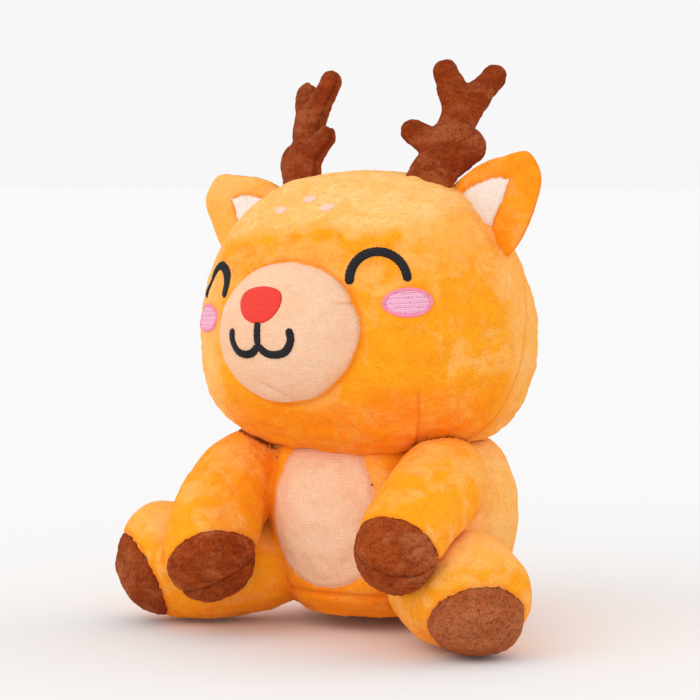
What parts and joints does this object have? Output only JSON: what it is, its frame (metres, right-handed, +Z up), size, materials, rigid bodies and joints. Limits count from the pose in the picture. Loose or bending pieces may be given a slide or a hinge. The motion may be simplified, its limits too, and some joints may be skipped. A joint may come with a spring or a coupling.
{
  "type": "plush deer",
  "caption": "Seated stuffed deer with a large head, soft ears and antlers, cream muzzle and belly, and sewn limbs with brown hooves; the limbs, head, ears, antlers and tail flex.",
  "frame": {"origin": "centre of the seat on the surface that the toy sits on", "axes": "+Z up, -Y ahead of the face, +X to the toy's own left"},
  "size_m": [0.2049, 0.1653, 0.252],
  "materials": {
    "orange_plush": "short-pile velvet",
    "cream_plush": "short-pile velvet",
    "brown_plush": "short-pile velvet",
    "white_plush": "short-pile velvet",
    "red_thread": "satin stitch",
    "black_thread": "satin stitch",
    "pink_thread": "satin stitch",
    "pale_thread": "satin stitch",
    "label_satin": "woven satin",
    "filling": "loose fibre",
    "calico": "plain weave"
  },
  "bodies": {
    "torso": {"body_base_panel": "orange_plush", "belly_patch": "cream_plush", "body_front_cover": "orange_plush", "body_side_left": "orange_plush", "body_side_right": "orange_plush", "body_stuffing": "filling", "pellet_bag": "calico", "care_label": "label_satin"},
    "head": {"face_cover": "orange_plush", "head_back_left": "orange_plush", "head_back_right": "orange_plush", "head_stuffing": "filling", "muzzle_panel": "cream_plush", "nose_embroidery": "red_thread", "mouth_embroidery": "black_thread", "eye_embroidery_left": "black_thread", "eye_embroidery_right": "black_thread", "cheek_embroidery_left": "pink_thread", "cheek_embroidery_right": "pink_thread", "forehead_spot_left": "pale_thread", "forehead_spot_right": "pale_thread", "forehead_spot_centre": "pale_thread"},
    "ear_left": {"ear_cover_left": "orange_plush", "ear_lining_left": "white_plush", "ear_stuffing_left": "filling"},
    "antler_left": {"antler_cover_left": "brown_plush", "antler_stuffing_left": "filling"},
    "arm_left": {"arm_cover_left": "orange_plush", "arm_hoof_upper_left": "brown_plush", "arm_hoof_lower_left": "brown_plush", "arm_stuffing_left": "filling"},
    "leg_left": {"leg_cover_left": "orange_plush", "leg_hoof_left": "brown_plush", "leg_stuffing_left": "filling"},
    "ear_right": {"ear_cover_right": "orange_plush", "ear_lining_right": "white_plush", "ear_stuffing_right": "filling"},
    "antler_right": {"antler_cover_right": "brown_plush", "antler_stuffing_right": "filling"},
    "arm_right": {"arm_cover_right": "orange_plush", "arm_hoof_upper_right": "brown_plush", "arm_hoof_lower_right": "brown_plush", "arm_stuffing_right": "filling"},
    "leg_right": {"leg_cover_right": "orange_plush", "leg_hoof_right": "brown_plush", "leg_stuffing_right": "filling"},
    "tail": {"tail_cover": "orange_plush", "tail_stuffing": "filling"}
  },
  "joints": [
    {"name": "head_turn", "type": "hinge", "parent": "torso", "child": "head", "pos_m": [-0.0013, -0.034, 0.084], "axis": [0, 0, 1], "range_deg": [-15, 15], "stiffness_Nm_per_rad": 0.12},
    {"name": "ear_left_fold", "type": "hinge", "parent": "head", "child": "ear_left", "pos_m": [0.04469, -0.0265, 0.17898], "axis": [0.5419, -0.1286, -0.8306], "range_deg": [-15, 15], "stiffness_Nm_per_rad": 0.03},
    {"name": "ear_right_fold", "type": "hinge", "parent": "head", "child": "ear_right", "pos_m": [-0.05852, -0.0265, 0.17267], "axis": [0.4366, 0.1286, 0.8904], "range_deg": [-15, 15], "stiffness_Nm_per_rad": 0.03},
    {"name": "antler_left_flex", "type": "hinge", "parent": "head", "child": "antler_left", "pos_m": [0.02567, -0.0331, 0.19335], "axis": [0.9017, 0.2883, -0.3222], "range_deg": [-8, 8], "stiffness_Nm_per_rad": 0.08},
    {"name": "antler_right_flex", "type": "hinge", "parent": "head", "child": "antler_right", "pos_m": [-0.0414, -0.0331, 0.18925], "axis": [0.8557, -0.2883, 0.4297], "range_deg": [-8, 8], "stiffness_Nm_per_rad": 0.08},
    {"name": "arm_left_lift", "type": "hinge", "parent": "torso", "child": "arm_left", "pos_m": [0.046, -0.053, 0.068], "axis": [-1, 0, 0], "range_deg": [0, 14], "stiffness_Nm_per_rad": 0.12},
    {"name": "arm_right_lift", "type": "hinge", "parent": "torso", "child": "arm_right", "pos_m": [-0.046, -0.053, 0.068], "axis": [-1, 0, 0], "range_deg": [0, 20], "stiffness_Nm_per_rad": 0.12},
    {"name": "leg_left_splay", "type": "hinge", "parent": "torso", "child": "leg_left", "pos_m": [0.0355, -0.0565, 0.027], "axis": [0, 0, 1], "range_deg": [0, 14], "stiffness_Nm_per_rad": 0.15},
    {"name": "leg_right_splay", "type": "hinge", "parent": "torso", "child": "leg_right", "pos_m": [-0.0355, -0.0565, 0.027], "axis": [0, 0, -1], "range_deg": [0, 14], "stiffness_Nm_per_rad": 0.15},
    {"name": "tail_swing", "type": "hinge", "parent": "torso", "child": "tail", "pos_m": [0, 0.027, 0.038], "axis": [1, 0, 0], "range_deg": [-12, 12], "stiffness_Nm_per_rad": 0.02}
  ]
}
